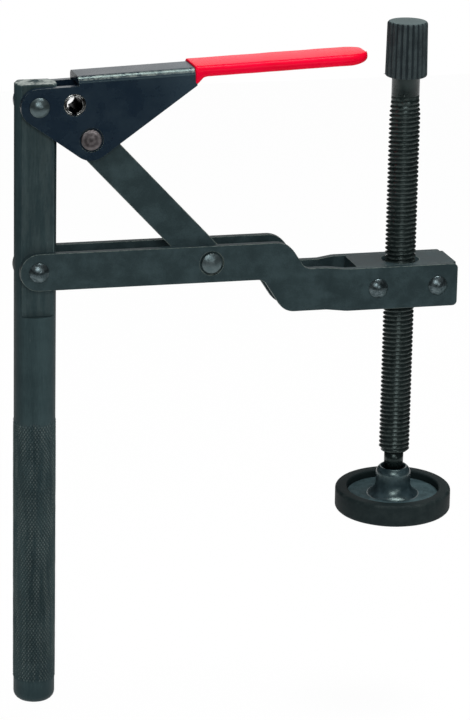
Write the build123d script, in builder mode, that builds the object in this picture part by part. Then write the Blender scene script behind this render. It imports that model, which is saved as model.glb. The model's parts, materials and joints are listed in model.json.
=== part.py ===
"""Toggle clamp on a round post: folded lever, flat link, cranked arm and screw spindle with a swivel pad.

Units are millimetres. +Z is up along the post, +X runs out along the arm to the spindle, and the
linkage lies in the XZ plane. The origin is on the post's axis at the top of its knurled length,
which is where the post leaves the hole that holds it.
"""
import os
from math import atan2, cos, degrees, hypot, radians, sin, sqrt, tan

from build123d import *

# ---- driving dimensions ----------------------------------------------------------------------
running_gap = 0.05          # radial clearance of every pin in its hole
side_gap = 0.1              # clearance of a plate against the flat it turns on

# post
post_diameter = 16.0
post_across_flats = 10.0
knurl_diameter = 16.7
knurl_length = 106.0        # knurled length below the origin
foot_length = 9.0           # plain rounded foot under the knurl
foot_radius = 3.5
flat_start = 41.5           # height at which the milled flats begin
post_top_margin = 8.2       # post above the lever's pivot
post_chamfer = 0.6
pip_diameter = 4.0          # turning pip left on the top face
pip_height = 0.5

# linkage, heights above the origin
arm_pivot_height = 59.3
lever_pivot_height = 122.8
lever_pin_reach = 19.8      # upper link pin, out from the post's axis
lever_pin_drop = 13.1       # and below the lever's pivot
arm_pin_reach = 67.0        # lower link pin along the arm
arm_pin_rise = 0.4          # and above the line through the arm's pivot

# rivets and pins
rivet_diameter = 6.0
rivet_head_diameter = 7.6
rivet_head_height = 2.0
pin_diameter = 7.0
pin_end_diameter = 7.8
pin_recess_diameter = 9.4
pin_recess_depth = 1.0
pin_dome_height = 1.1
pin_flush_dome = 0.3        # the upper pin's ends are nearly flush
head_flank = 0.15           # share of a head's height that is straight

# lever
sheet_thickness = 2.9
lever_tilt = 2.2            # degrees, rise of the lever's top face in the rest pose
web_height = 10.5           # top of the folded web above the pivot
web_start = 15.2            # where the web begins, in front of the notch
ear_radius = 7.0
pin_boss_radius = 7.9       # cheek round the upper link pin
cheek_length = 60.5         # where the cheeks step down to the flat tail
cheek_end_depth = 6.6       # cheek depth below the web's top at that step
lever_end_gap = 19.5        # from the end of the steel tail to the spindle's axis
bend_radius = 2.6
tail_corner_radius = 7.0
step_radius = 3.2           # inside corner where the cheeks step down
stop_pin_reach = 13.4       # spring pin beside the pivot
stop_pin_diameter = 8.4
stop_pin_bore = 6.1
stop_pin_slot = 2.2
stop_pin_chamfer = 0.45

# grip
grip_skin = 0.7             # vinyl above and below the tail
grip_side_skin = 0.9
grip_tip_skin = 3.9         # solid vinyl beyond the end of the steel
grip_edge_radius = 2.0
grip_collar_lap = 0.6       # collar's lap over the cheeks
grip_nose_length = 9.0      # the underside curves up towards the tip over this length
grip_nose_rise = 1.5

# link
link_width = 13.4
link_side_gap = 0.2
link_open_gap = 1.5         # free play of the link's upper eye round its pin

# arm
plate_thickness = 2.9
arm_height = 14.3
arm_drop = 12.0             # outer end below the pivot line
arm_end_height = 16.7
crank_angle = 57.0
crank_lead_top = 15.8       # upper edge turns down this far before the joggle
crank_lead_under = 25.4     # and the lower edge this far
crank_top_radius = 9.0
crank_heel_radius = 7.0
crank_inner_radius = 4.0
joggle_lead = 4.6           # straight length between the joggle and the block
joggle_run = 7.0
joggle_radius = 2.0
arm_corner_radius = 1.8

# block and spindle
spindle_reach = 144.6
block_length = 40.0
block_width = 17.0
block_rivet_spacing = 24.0
thread_diameter = 12.0
thread_pitch = 1.75
thread_depth = 0.9          # the thread is turned here as grooves, one to each pitch
thread_crest = 0.3          # flat left between two grooves
thread_mouth_diameter = 15.0
shank_diameter = 10.8
neck_diameter = 7.6
thread_top = 121.5          # spindle stations in the rest pose
knob_seat = 128.0
thread_bottom = -22.2
thread_chamfer = 0.8

# knob
knob_diameter = 16.2
knob_top_diameter = 15.5
knob_height = 21.6
knob_edge_radius = 1.1
flute_count = 22
flute_radius = 0.5
knob_foot_radius = 0.9
knob_socket_depth = 14.0
press_gap = 0.02

# pad
ball_height = -35.0         # ball centre in the rest pose
ball_diameter = 10.6
ball_gap = 0.06
throat_gap = 0.9            # room round the neck for the pad to tip
pad_tilt = 2.6              # degrees, the loose pad's lean towards the front in the rest pose
pad_side_tilt = 1.0         # and towards the post
pad_diameter = 45.6
pad_rim_bore = 36.0
pad_rim_top = -2.3          # heights from here on are from the ball's centre
pad_floor_top = -5.3
pad_thickness = 8.8
disc_thickness = 1.6
disc_diameter = 40.0
boss_diameter = 13.7
boss_top = 6.3
boss_shoulder_rise = 3.0    # the shoulder rounds in over this height
boss_rim_diameter = 10.6    # outside of the rolled rim
boss_mouth_diameter = 9.6
bell_diameter = 20.6        # foot of the boss's flare
bell_height = 5.0
rim_edge_radius = 0.7
cap_edge_radius = 1.2

# ---- values worked out from them ---------------------------------------------------------------
post_top = lever_pivot_height + post_top_margin
flat_depth = post_across_flats / 2
plate_inner = flat_depth + side_gap
plate_outer = plate_inner + plate_thickness
cheek_inner = flat_depth + side_gap
cheek_outer = cheek_inner + sheet_thickness
block_side = block_width / 2
block_face = block_side + plate_thickness
block_inner_end = spindle_reach - block_length / 2
block_outer_end = spindle_reach + block_length / 2
block_mid_height = arm_pivot_height - arm_drop
block_top = block_mid_height + arm_end_height / 2
block_bottom = block_mid_height - arm_end_height / 2
joggle_end = block_inner_end - joggle_lead
joggle_start = joggle_end - joggle_run
lever_length = spindle_reach - lever_end_gap
rivet_radius = rivet_diameter / 2
pin_radius = pin_diameter / 2
bore_radius = thread_diameter / 2 + running_gap

lever_pin = (lever_pin_reach, lever_pivot_height - lever_pin_drop)
arm_pin = (arm_pin_reach, arm_pivot_height + arm_pin_rise)
link_run = arm_pin[0] - lever_pin[0]
link_fall = lever_pin[1] - arm_pin[1]
link_length = hypot(link_run, link_fall)

side_plane = Plane(origin=(0, 0, 0), x_dir=(1, 0, 0), z_dir=(0, -1, 0))
tilt_x, tilt_z = cos(radians(lever_tilt)), sin(radians(lever_tilt))
lever_plane = Plane(origin=(0, 0, lever_pivot_height), x_dir=(tilt_x, 0, tilt_z), z_dir=(0, -1, 0))
# upper link pin seen in the lever's own plane
lever_pin_u = lever_pin_reach * tilt_x - lever_pin_drop * tilt_z
lever_pin_v = -lever_pin_reach * tilt_z - lever_pin_drop * tilt_x


def write(piece, name):
    """Label a finished piece and write it as its own STEP file."""
    piece.part.label = name
    export_step(piece.part, f"parts/{name}.step")


def tangent_touch(centre_a, radius_a, centre_b, radius_b, side):
    """Points where a line touches two rounds on the same side (+1 left, -1 right, going a to b)."""
    gap_u, gap_v = centre_b[0] - centre_a[0], centre_b[1] - centre_a[1]
    gap = hypot(gap_u, gap_v)
    along_u, along_v = gap_u / gap, gap_v / gap
    lean = (radius_a - radius_b) / gap
    square = sqrt(1 - lean * lean) * side
    normal_u = along_u * lean - along_v * square
    normal_v = along_v * lean + along_u * square
    touch_a = (centre_a[0] + normal_u * radius_a, centre_a[1] + normal_v * radius_a)
    touch_b = (centre_b[0] + normal_u * radius_b, centre_b[1] + normal_v * radius_b)
    return touch_a, touch_b


def on_round(centre, radius, point_a, point_b):
    """Middle point of the short arc between two points of a round."""
    turn_a = atan2(point_a[1] - centre[1], point_a[0] - centre[0])
    turn_b = atan2(point_b[1] - centre[1], point_b[0] - centre[0])
    if turn_b > turn_a:
        turn_b -= radians(360)
    middle = (turn_a + turn_b) / 2
    return centre[0] + radius * cos(middle), centre[1] + radius * sin(middle)


def dome_radius(half_chord, rise):
    """Radius of the arc that rises by rise over a half chord."""
    return (half_chord**2 + rise**2) / (2 * rise)


def turned_pin(centre, half_length, shank_radius, head_radius, head_start, head_height):
    """A pin along Y, alike at both ends: shank, a short head from head_start and a dome on it."""
    pin_plane = Plane(origin=(centre[0], 0, centre[1]), x_dir=(1, 0, 0), z_dir=(0, 0, 1))
    with BuildPart() as pin:
        with BuildSketch(pin_plane):
            with BuildLine():
                Polyline(
                    (0, half_length + head_height),
                    (0, 0),
                    (shank_radius, 0),
                    (shank_radius, head_start),
                    (head_radius, head_start),
                    (head_radius, half_length + head_height * head_flank),
                )
                RadiusArc(
                    (head_radius, half_length + head_height * head_flank),
                    (0, half_length + head_height),
                    -dome_radius(head_radius, head_height * (1 - head_flank)),
                )
            make_face()
        revolve(axis=Axis((centre[0], 0, centre[1]), (0, 1, 0)))
        mirror(about=Plane.XZ)
    return pin


os.makedirs("parts", exist_ok=True)

# ---- post ----------------------------------------------------------------------------------------
foot_bottom = -knurl_length - foot_length
with BuildPart() as post:
    with BuildSketch(Plane.XZ):
        with BuildLine():
            Polyline(
                (0, foot_bottom),
                (post_diameter / 2, foot_bottom),
                (post_diameter / 2, -knurl_length),
                (knurl_diameter / 2, -knurl_length),
                (knurl_diameter / 2, 0),
                (post_diameter / 2, 0),
                (post_diameter / 2, post_top),
                (0, post_top),
                close=True,
            )
        make_face()
    revolve(axis=Axis.Z)
    fillet(post.edges().group_by(Axis.Z)[0], foot_radius)
    chamfer(post.edges().group_by(Axis.Z)[-1], post_chamfer)
    for side in (1, -1):
        with BuildSketch(Plane.XY.offset(flat_start)):
            with Locations((0, side * (flat_depth + post_diameter / 2))):
                Rectangle(2 * post_diameter, post_diameter)
        extrude(amount=post_top - flat_start + pip_height, mode=Mode.SUBTRACT)
    with BuildSketch(Plane.XY.offset(post_top)):
        Circle(pip_diameter / 2)
    extrude(amount=pip_height)
    with BuildSketch(side_plane):
        with Locations((0, arm_pivot_height), (0, lever_pivot_height)):
            Circle(rivet_radius + running_gap)
    extrude(amount=post_diameter, both=True, mode=Mode.SUBTRACT)
write(post, "post")

# ---- lever: one folded sheet -------------------------------------------------------------------
web_under = web_height - sheet_thickness
pin_centre = (lever_pin_u, lever_pin_v)
cheek_end = (cheek_length, web_height - cheek_end_depth)
_, slope_to = tangent_touch(cheek_end, 0, pin_centre, pin_boss_radius, 1)
heel_from, heel_to = tangent_touch(pin_centre, pin_boss_radius, (0, 0), ear_radius, 1)

with BuildPart() as lever:
    with BuildSketch(lever_plane) as cheek_face:
        with BuildLine():
            Polyline(
                (0, ear_radius),
                (web_start, ear_radius),
                (web_start, web_height),
                (lever_length, web_height),
                (lever_length, web_under),
                (cheek_length, web_under),
                cheek_end,
                slope_to,
            )
            ThreePointArc(slope_to, on_round(pin_centre, pin_boss_radius, slope_to, heel_from), heel_from)
            Line(heel_from, heel_to)
            ThreePointArc(heel_to, on_round((0, 0), ear_radius, heel_to, (0, ear_radius)), (0, ear_radius))
        make_face()
        fillet(cheek_face.vertices().sort_by_distance((cheek_length, web_under))[0], step_radius)
    extrude(amount=cheek_outer, both=True)
    # round the tail's end in plan, then the two long bends of the fold
    tail_end = lever.edges().filter_by(Axis(lever_plane.origin, lever_plane.y_dir)).sort_by(Axis.X)[-2:]
    fillet(tail_end, tail_corner_radius)
    long_edges = lever.edges().filter_by(Axis(lever_plane.origin, lever_plane.x_dir))
    fillet(long_edges.sort_by(SortBy.LENGTH)[-4:].sort_by(Axis.Z)[-2:], bend_radius)
    # the space between the cheeks, open towards the post
    with BuildSketch(lever_plane):
        with BuildLine():
            Polyline(
                (-2 * ear_radius, web_height + sheet_thickness),
                (web_start, web_height + sheet_thickness),
                (web_start, web_under),
                (lever_length, web_under),
                (lever_length, lever_pin_v - 2 * pin_boss_radius),
                (-2 * ear_radius, lever_pin_v - 2 * pin_boss_radius),
                close=True,
            )
        make_face()
    extrude(amount=cheek_inner, both=True, mode=Mode.SUBTRACT)
    # pivot, link pin and spring pin holes, the link pin's with a recess on each side
    with BuildSketch(lever_plane):
        Circle(rivet_radius + running_gap)
        with Locations(pin_centre):
            Circle(pin_radius + running_gap)
        with Locations((stop_pin_reach, 0)):
            Circle(stop_pin_diameter / 2 + running_gap)
    extrude(amount=2 * cheek_outer, both=True, mode=Mode.SUBTRACT)
    for side in (1, -1):
        with BuildSketch(lever_plane.offset(side * (cheek_outer - pin_recess_depth))):
            with Locations(pin_centre):
                Circle(pin_recess_diameter / 2)
        extrude(amount=side * 2 * pin_recess_depth, mode=Mode.SUBTRACT)
write(lever, "lever")

# ---- grip: dipped vinyl over the lever's tail ----------------------------------------------------
grip_side = cheek_outer + grip_side_skin
grip_end = lever_length + grip_tip_skin
grip_top = web_height + grip_skin
grip_under = web_under - grip_skin
collar_start = cheek_length - grip_collar_lap
tail_plane = Plane(
    origin=lever_plane.from_local_coords((0, grip_under, 0)),
    x_dir=lever_plane.x_dir,
    z_dir=lever_plane.y_dir,
)
with BuildPart() as grip:
    with BuildSketch(tail_plane) as tail_outline:
        with Locations(((collar_start + grip_end) / 2, 0)):
            Rectangle(grip_end - collar_start, 2 * grip_side)
        fillet(tail_outline.vertices().group_by(Axis.X)[-1], grip_side - grip_edge_radius)
    extrude(amount=grip_top - grip_under)
    # the underside curves up towards the tip
    nose_start = (grip_end - grip_nose_length, grip_under)
    nose_end = (grip_end, grip_under + grip_nose_rise)
    with BuildSketch(lever_plane):
        with BuildLine():
            TangentArc(nose_start, nose_end, tangent=(1, 0))
            Polyline(nose_end, (grip_end, grip_under), nose_start)
        make_face()
    extrude(amount=grip_side, both=True, mode=Mode.SUBTRACT)
    # round the skin's upper and lower rims, all but the straight edges at the collar
    rise = Axis(tail_plane.origin, lever_plane.y_dir)
    upper_rim = grip.edges().group_by(rise)[-1]
    fillet(upper_rim.sort_by(Axis.X)[1:], grip_edge_radius)
    lower_rim = grip.edges().filter_by_position(rise, -grip_skin, grip_nose_rise)
    fillet(lower_rim.sort_by(Axis.X)[1:], grip_edge_radius)
    # flared collar that laps the ends of the cheeks
    with BuildSketch(lever_plane):
        with BuildLine():
            collar_foot = cheek_end[1] - grip_skin / 2
            collar_lip = cheek_length + grip_skin
            flare = grip_under - collar_foot
            Polyline(
                (collar_lip + flare, grip_under),
                (collar_lip + flare, web_under),
                (collar_start, web_under),
                (collar_start, collar_foot),
                (collar_lip, collar_foot),
            )
            RadiusArc((collar_lip, collar_foot), (collar_lip + flare, grip_under), flare)
        make_face()
    extrude(amount=grip_side, both=True)
    add(lever.part, mode=Mode.SUBTRACT)
write(grip, "grip")

# ---- rivets and link pins ---------------------------------------------------------------------
lever_pivot = (0, lever_pivot_height)
arm_pivot = (0, arm_pivot_height)
head_radius = rivet_head_diameter / 2

lever_rivet = turned_pin(
    lever_pivot, cheek_outer, rivet_radius, head_radius, cheek_outer, rivet_head_height)
write(lever_rivet, "lever_rivet")

link_upper_pin = turned_pin(
    lever_pin, cheek_outer, pin_radius, pin_end_diameter / 2, cheek_outer - pin_recess_depth, pin_flush_dome)
write(link_upper_pin, "link_upper_pin")

link_lower_pin = turned_pin(
    arm_pin, plate_outer, pin_radius, pin_end_diameter / 2, plate_outer - pin_recess_depth, pin_dome_height)
write(link_lower_pin, "link_lower_pin")

arm_rivet = turned_pin(
    arm_pivot, plate_outer, rivet_radius, head_radius, plate_outer, rivet_head_height)
write(arm_rivet, "arm_rivet")

# ---- stop_pin: rolled spring pin, its slot towards the foot of the lever --------------------------
with BuildPart() as stop_pin:
    with BuildSketch(lever_plane):
        with Locations((stop_pin_reach, 0)):
            Circle(stop_pin_diameter / 2)
            Circle(stop_pin_bore / 2, mode=Mode.SUBTRACT)
        with Locations((stop_pin_reach, -stop_pin_diameter / 2)):
            Rectangle(stop_pin_slot, stop_pin_diameter / 2, mode=Mode.SUBTRACT)
    extrude(amount=cheek_outer, both=True)
    ends = stop_pin.edges().filter_by(GeomType.CIRCLE)
    chamfer(ends, stop_pin_chamfer)
write(stop_pin, "stop_pin")

# ---- link ------------------------------------------------------------------------------------------
with BuildPart() as link:
    with BuildSketch(side_plane):
        with Locations(((lever_pin[0] + arm_pin[0]) / 2, (lever_pin[1] + arm_pin[1]) / 2)):
            SlotCenterToCenter(link_length, link_width, rotation=-degrees(atan2(link_fall, link_run)))
        with Locations(arm_pin):
            Circle(pin_radius + running_gap, mode=Mode.SUBTRACT)
        with Locations(lever_pin):
            Circle(pin_radius + link_open_gap, mode=Mode.SUBTRACT)
    extrude(amount=plate_inner - link_side_gap, both=True)
write(link, "link")

# ---- arm plates: cranked in side view, joggled in plan ------------------------------------------------
arm_half = arm_height / 2
arm_top, arm_under = arm_pivot_height + arm_half, arm_pivot_height - arm_half
crank_slope = tan(radians(crank_angle))
crank_start_top = joggle_start - crank_lead_top
crank_start_under = joggle_start - crank_lead_under
crank_end_top = crank_start_top + (arm_top - block_top) / crank_slope
crank_end_under = crank_start_under + (arm_under - block_bottom) / crank_slope
with BuildPart() as arm_plate_front:
    with BuildSketch(side_plane) as arm_outline:
        with BuildLine():
            Polyline(
                (0, arm_top),
                (crank_start_top, arm_top),
                (crank_end_top, block_top),
                (block_outer_end, block_top),
                (block_outer_end, block_bottom),
                (crank_end_under, block_bottom),
                (crank_start_under, arm_under),
                (0, arm_under),
            )
            ThreePointArc((0, arm_under), (-arm_half, arm_pivot_height), (0, arm_top))
        make_face()
        for corner, radius in (
            ((crank_start_top, arm_top), crank_top_radius),
            ((crank_end_top, block_top), crank_inner_radius),
            ((block_outer_end, block_top), arm_corner_radius),
            ((block_outer_end, block_bottom), arm_corner_radius),
            ((crank_end_under, block_bottom), crank_heel_radius),
            ((crank_start_under, arm_under), crank_inner_radius),
        ):
            fillet(arm_outline.vertices().sort_by_distance(corner)[0], radius)
        with Locations(arm_pivot):
            Circle(rivet_radius + running_gap, mode=Mode.SUBTRACT)
        with Locations(arm_pin):
            Circle(pin_radius + running_gap, mode=Mode.SUBTRACT)
        with Locations((spindle_reach, block_mid_height)):
            with GridLocations(block_rivet_spacing, 0, 2, 1):
                Circle(rivet_radius + running_gap, mode=Mode.SUBTRACT)
    extrude(amount=2 * block_face)
    with BuildSketch(Plane.XY.offset(block_bottom)) as strip:
        with BuildLine():
            Polyline(
                (-arm_height, -plate_inner),
                (joggle_start, -plate_inner),
                (joggle_end, -block_side),
                (block_outer_end, -block_side),
                (block_outer_end, -block_face),
                (joggle_end, -block_face),
                (joggle_start, -plate_outer),
                (-arm_height, -plate_outer),
                close=True,
            )
        make_face()
        for bend in ((joggle_start, -plate_inner), (joggle_end, -block_face)):
            fillet(strip.vertices().sort_by_distance(bend)[0], joggle_radius + plate_thickness)
        for bend in ((joggle_end, -block_side), (joggle_start, -plate_outer)):
            fillet(strip.vertices().sort_by_distance(bend)[0], joggle_radius)
    extrude(amount=arm_top - block_bottom, mode=Mode.INTERSECT)
    with BuildSketch(side_plane.offset(plate_outer - pin_recess_depth)):
        with Locations(arm_pin):
            Circle(pin_recess_diameter / 2)
    extrude(amount=2 * pin_recess_depth, mode=Mode.SUBTRACT)
write(arm_plate_front, "arm_plate_front")

with BuildPart() as arm_plate_rear:
    mirror(arm_plate_front.part, about=Plane.XZ)
write(arm_plate_rear, "arm_plate_rear")

# ---- thread_block: square bar tapped for the spindle ------------------------------------------------
with BuildPart() as thread_block:
    with BuildSketch(Plane.XY.offset(block_bottom)):
        with Locations((spindle_reach, 0)):
            Rectangle(block_length, block_width)
            Circle(bore_radius, mode=Mode.SUBTRACT)
    extrude(amount=arm_end_height)
    mouths = thread_block.edges().filter_by(GeomType.CIRCLE)
    chamfer(mouths, thread_mouth_diameter / 2 - bore_radius)
    with BuildSketch(side_plane):
        with Locations((spindle_reach, block_mid_height)):
            with GridLocations(block_rivet_spacing, 0, 2, 1):
                Circle(rivet_radius + running_gap)
    extrude(amount=block_width, both=True, mode=Mode.SUBTRACT)
write(thread_block, "thread_block")

for name, reach in (
    ("block_rivet_inner", spindle_reach - block_rivet_spacing / 2),
    ("block_rivet_outer", spindle_reach + block_rivet_spacing / 2),
):
    block_rivet = turned_pin(
        (reach, block_mid_height), block_face, rivet_radius, head_radius, block_face, rivet_head_height)
    write(block_rivet, name)

# ---- spindle: shank, thread length, neck and ball in one ---------------------------------------------
thread_radius = thread_diameter / 2
shank_radius = shank_diameter / 2
neck_radius = neck_diameter / 2
ball_radius = ball_diameter / 2
ball_neck_rise = sqrt(ball_radius**2 - neck_radius**2)
spindle_plane = Plane(origin=(spindle_reach, 0, 0), x_dir=(1, 0, 0), z_dir=(0, -1, 0))
spindle_axis = Axis((spindle_reach, 0, 0), (0, 0, 1))
shank_end = knob_seat + knob_socket_depth
thread_start = thread_bottom + thread_chamfer
thread_stop = thread_top - thread_chamfer
thread_outline = [(thread_radius, thread_start)]
for groove in range(int((thread_stop - thread_start - thread_crest) / thread_pitch)):
    groove_top = thread_start + (groove + 1) * thread_pitch
    groove_bottom = groove_top - thread_pitch + thread_crest
    thread_outline += [
        (thread_radius, groove_bottom),
        (thread_radius - thread_depth, (groove_bottom + groove_top) / 2),
        (thread_radius, groove_top),
    ]
thread_outline.append((thread_radius, thread_stop))
with BuildPart() as spindle:
    with BuildSketch(spindle_plane):
        with BuildLine():
            ThreePointArc(
                (0, ball_height - ball_radius),
                (ball_radius, ball_height),
                (neck_radius, ball_height + ball_neck_rise),
            )
            Polyline(
                (neck_radius, ball_height + ball_neck_rise),
                (neck_radius, thread_bottom),
                (thread_radius - thread_chamfer, thread_bottom),
                *thread_outline,
                (shank_radius, thread_top),
                (shank_radius, shank_end),
                (0, shank_end),
                (0, ball_height - ball_radius),
            )
        make_face()
    revolve(axis=spindle_axis)
write(spindle, "spindle")

# ---- knob: moulded plastic, slightly tapered, with flutes ---------------------------------------------
knob_top = knob_seat + knob_height
knob_radius = knob_diameter / 2
with BuildPart() as knob:
    with BuildSketch(spindle_plane):
        with BuildLine():
            Polyline(
                (shank_radius + press_gap, knob_seat),
                (knob_radius, knob_seat),
                (knob_top_diameter / 2, knob_top),
                (0, knob_top),
                (0, shank_end),
                (shank_radius + press_gap, shank_end),
                close=True,
            )
        make_face()
    revolve(axis=spindle_axis)
    fillet(knob.edges().group_by(Axis.Z)[-1], knob_edge_radius)
    fillet(knob.edges().group_by(Axis.Z)[0].sort_by(SortBy.LENGTH)[-1], knob_foot_radius)
    with BuildSketch(Plane(origin=(spindle_reach, 0, knob_seat))):
        with PolarLocations(knob_radius, flute_count, start_angle=180 / flute_count):
            Circle(flute_radius)
    extrude(amount=knob_height, mode=Mode.SUBTRACT)
write(knob, "knob")

# ---- swivel pad on the ball ---------------------------------------------------------------------------
pad_up = Vector(-tan(radians(pad_side_tilt)), -tan(radians(pad_tilt)), 1).normalized()
pad_front = Vector(1, 0, 0).cross(pad_up)
pad_origin = (spindle_reach, 0, ball_height)
pad_plane = Plane(origin=pad_origin, x_dir=pad_up.cross(pad_front), z_dir=pad_front)
pad_axis = Axis(pad_origin, pad_up)
boss_radius = boss_diameter / 2
boss_shoulder = boss_top - boss_shoulder_rise
boss_rim = boss_rim_diameter / 2
mouth_radius = boss_mouth_diameter / 2
throat_radius = neck_radius + throat_gap
cavity_radius = ball_radius + ball_gap
throat_height = sqrt(cavity_radius**2 - throat_radius**2)
disc_radius = disc_diameter / 2
disc_under = pad_floor_top - disc_thickness
bell_foot = bell_diameter / 2
bell_top = pad_floor_top + bell_height
with BuildPart() as pad_socket:
    with BuildSketch(pad_plane):
        with BuildLine():
            Polyline(
                (0, -cavity_radius),
                (0, disc_under),
                (disc_radius, disc_under),
                (disc_radius, pad_floor_top),
                (bell_foot, pad_floor_top),
            )
            TangentArc((boss_radius, bell_top), (bell_foot, pad_floor_top), tangent=(0, -1))
            Line((boss_radius, bell_top), (boss_radius, boss_shoulder))
            TangentArc((boss_radius, boss_shoulder), (boss_rim, boss_top), tangent=(0, 1))
            Polyline(
                (boss_rim, boss_top),
                (mouth_radius, boss_top),
                (throat_radius, throat_height),
            )
            ThreePointArc((throat_radius, throat_height), (cavity_radius, 0), (0, -cavity_radius))
        make_face()
    revolve(axis=pad_axis)
write(pad_socket, "pad_socket")

pad_radius = pad_diameter / 2
rim_radius = pad_rim_bore / 2
pad_face = pad_rim_top - pad_thickness
with BuildPart() as pad_cap:
    with BuildSketch(pad_plane) as cap_section:
        with BuildLine():
            Polyline(
                (0, disc_under),
                (disc_radius, disc_under),
                (disc_radius, pad_floor_top),
                (rim_radius, pad_floor_top),
                (rim_radius, pad_rim_top),
                (pad_radius, pad_rim_top),
                (pad_radius, pad_face),
                (0, pad_face),
                close=True,
            )
        make_face()
        fillet(cap_section.vertices().group_by(Axis.X)[-1], cap_edge_radius)
        fillet(cap_section.vertices().sort_by_distance((rim_radius, pad_rim_top))[0], rim_edge_radius)
    revolve(axis=pad_axis)
write(pad_cap, "pad_cap")
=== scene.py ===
import json
from math import atan2, cos, hypot, pi, radians, sin, sqrt, tan

import bmesh
import bpy
from mathutils import Matrix, Vector, noise

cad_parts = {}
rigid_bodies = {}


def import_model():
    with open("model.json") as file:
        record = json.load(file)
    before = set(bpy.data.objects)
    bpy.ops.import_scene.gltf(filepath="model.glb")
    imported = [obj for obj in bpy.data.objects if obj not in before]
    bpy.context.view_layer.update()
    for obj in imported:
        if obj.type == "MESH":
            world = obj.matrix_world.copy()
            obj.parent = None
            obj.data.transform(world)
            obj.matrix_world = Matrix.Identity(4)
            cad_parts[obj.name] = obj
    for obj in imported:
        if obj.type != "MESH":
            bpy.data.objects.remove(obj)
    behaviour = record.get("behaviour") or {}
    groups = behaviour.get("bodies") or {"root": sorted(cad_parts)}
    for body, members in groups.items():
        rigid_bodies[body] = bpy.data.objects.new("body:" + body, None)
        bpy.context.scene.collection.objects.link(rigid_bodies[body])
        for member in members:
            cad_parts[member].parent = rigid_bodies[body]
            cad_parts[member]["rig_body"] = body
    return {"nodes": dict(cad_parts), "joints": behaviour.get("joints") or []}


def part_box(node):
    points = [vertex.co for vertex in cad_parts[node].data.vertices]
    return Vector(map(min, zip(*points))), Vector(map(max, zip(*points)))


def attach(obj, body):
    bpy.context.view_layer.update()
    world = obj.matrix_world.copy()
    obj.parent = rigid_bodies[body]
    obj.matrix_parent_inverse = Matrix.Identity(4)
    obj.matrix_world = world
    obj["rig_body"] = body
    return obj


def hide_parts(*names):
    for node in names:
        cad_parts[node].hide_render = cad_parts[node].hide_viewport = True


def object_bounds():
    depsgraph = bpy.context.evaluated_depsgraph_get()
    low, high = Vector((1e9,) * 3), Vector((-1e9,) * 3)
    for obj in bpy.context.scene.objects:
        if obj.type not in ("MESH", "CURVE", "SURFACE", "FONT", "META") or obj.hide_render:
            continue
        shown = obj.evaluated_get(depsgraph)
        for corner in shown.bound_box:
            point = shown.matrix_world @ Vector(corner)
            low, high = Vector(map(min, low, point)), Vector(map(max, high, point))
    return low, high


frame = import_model()
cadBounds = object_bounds()
mm = 0.001  # sizes below are in mm; those of the stage, lamps and camera are in m, but for floorDrop
print("frame loaded:", len(frame["nodes"]), "nodes")


# shader maths

class Wire:  # a node's output that can be added, multiplied and so on
    def __init__(self, finish, socket):
        self.finish = finish
        self.socket = socket

    def math(self, operation, first, second):
        return self.finish.node("ShaderNodeMath", {"operation": operation}, {0: first, 1: second})

    def __add__(self, other):
        return self.math("ADD", self, other)

    def __radd__(self, other):
        return self.math("ADD", other, self)

    def __sub__(self, other):
        return self.math("SUBTRACT", self, other)

    def __rsub__(self, other):
        return self.math("SUBTRACT", other, self)

    def __mul__(self, other):
        return self.math("MULTIPLY", self, other)

    def __rmul__(self, other):
        return self.math("MULTIPLY", other, self)


class NodeBench:  # a node tree and the ways to add to it
    def __init__(self, tree):
        self.tree = tree

    def node(self, kind, settings, sockets, output=0):
        made = self.tree.nodes.new(kind)
        for setting, value in settings.items():
            setattr(made, setting, value)
        for socket, value in sockets.items():
            self.feed(made, socket, value)
        return Wire(self, made.outputs[output]) if made.outputs else None

    def feed(self, made, socket, value):
        if isinstance(value, Wire):
            self.tree.links.new(value.socket, made.inputs[socket])
        else:
            made.inputs[socket].default_value = value

    def between(self, value, low, high):  # 0 below low, 1 above high
        return self.node("ShaderNodeMapRange", {"interpolation_type": "SMOOTHSTEP"}, {
            "Value": value, "From Min": low, "From Max": high})


class Finish(NodeBench):  # one material and the nodes that make it
    def __init__(self, name, fixed):
        self.material = bpy.data.materials.new(name)
        self.material.use_nodes = True
        super().__init__(self.material.node_tree)
        self.shader = self.tree.nodes["Principled BSDF"]
        for socket, value in fixed.items():
            self.shader.inputs[socket].default_value = value
        self.place = self.node("ShaderNodeTexCoord", {}, {}, "Object")

    def mixed(self, factor, colourA, colourB):
        return self.node("ShaderNodeMix", {"data_type": "RGBA"}, {0: factor, 6: colourA, 7: colourB}, 2)

    def grain(self, size, detail=2.0, stretch=(1, 1, 1), roughness=0.5):  # size of a feature in mm
        place = self.place
        if stretch != (1, 1, 1):
            place = self.node("ShaderNodeMapping", {}, {"Vector": place, "Scale": stretch})
        return self.node("ShaderNodeTexNoise", {}, {
            "Vector": place, "Scale": 1 / (size * mm), "Detail": detail, "Roughness": roughness})

    def attribute(self, name):
        return self.node("ShaderNodeAttribute", {"attribute_name": name}, {}, "Fac")

    def bump(self, height, depth, strength=1.0):  # depth in mm
        return self.node("ShaderNodeBump", {}, {
            "Height": height, "Distance": depth * mm, "Strength": strength})

    def close(self, colour, roughness, normal):
        self.feed(self.shader, "Base Color", colour)
        self.feed(self.shader, "Roughness", roughness)
        self.feed(self.shader, "Normal", normal)
        return self.material


def tone(red, green, blue):
    return (red, green, blue, 1)


# finishes

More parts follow.
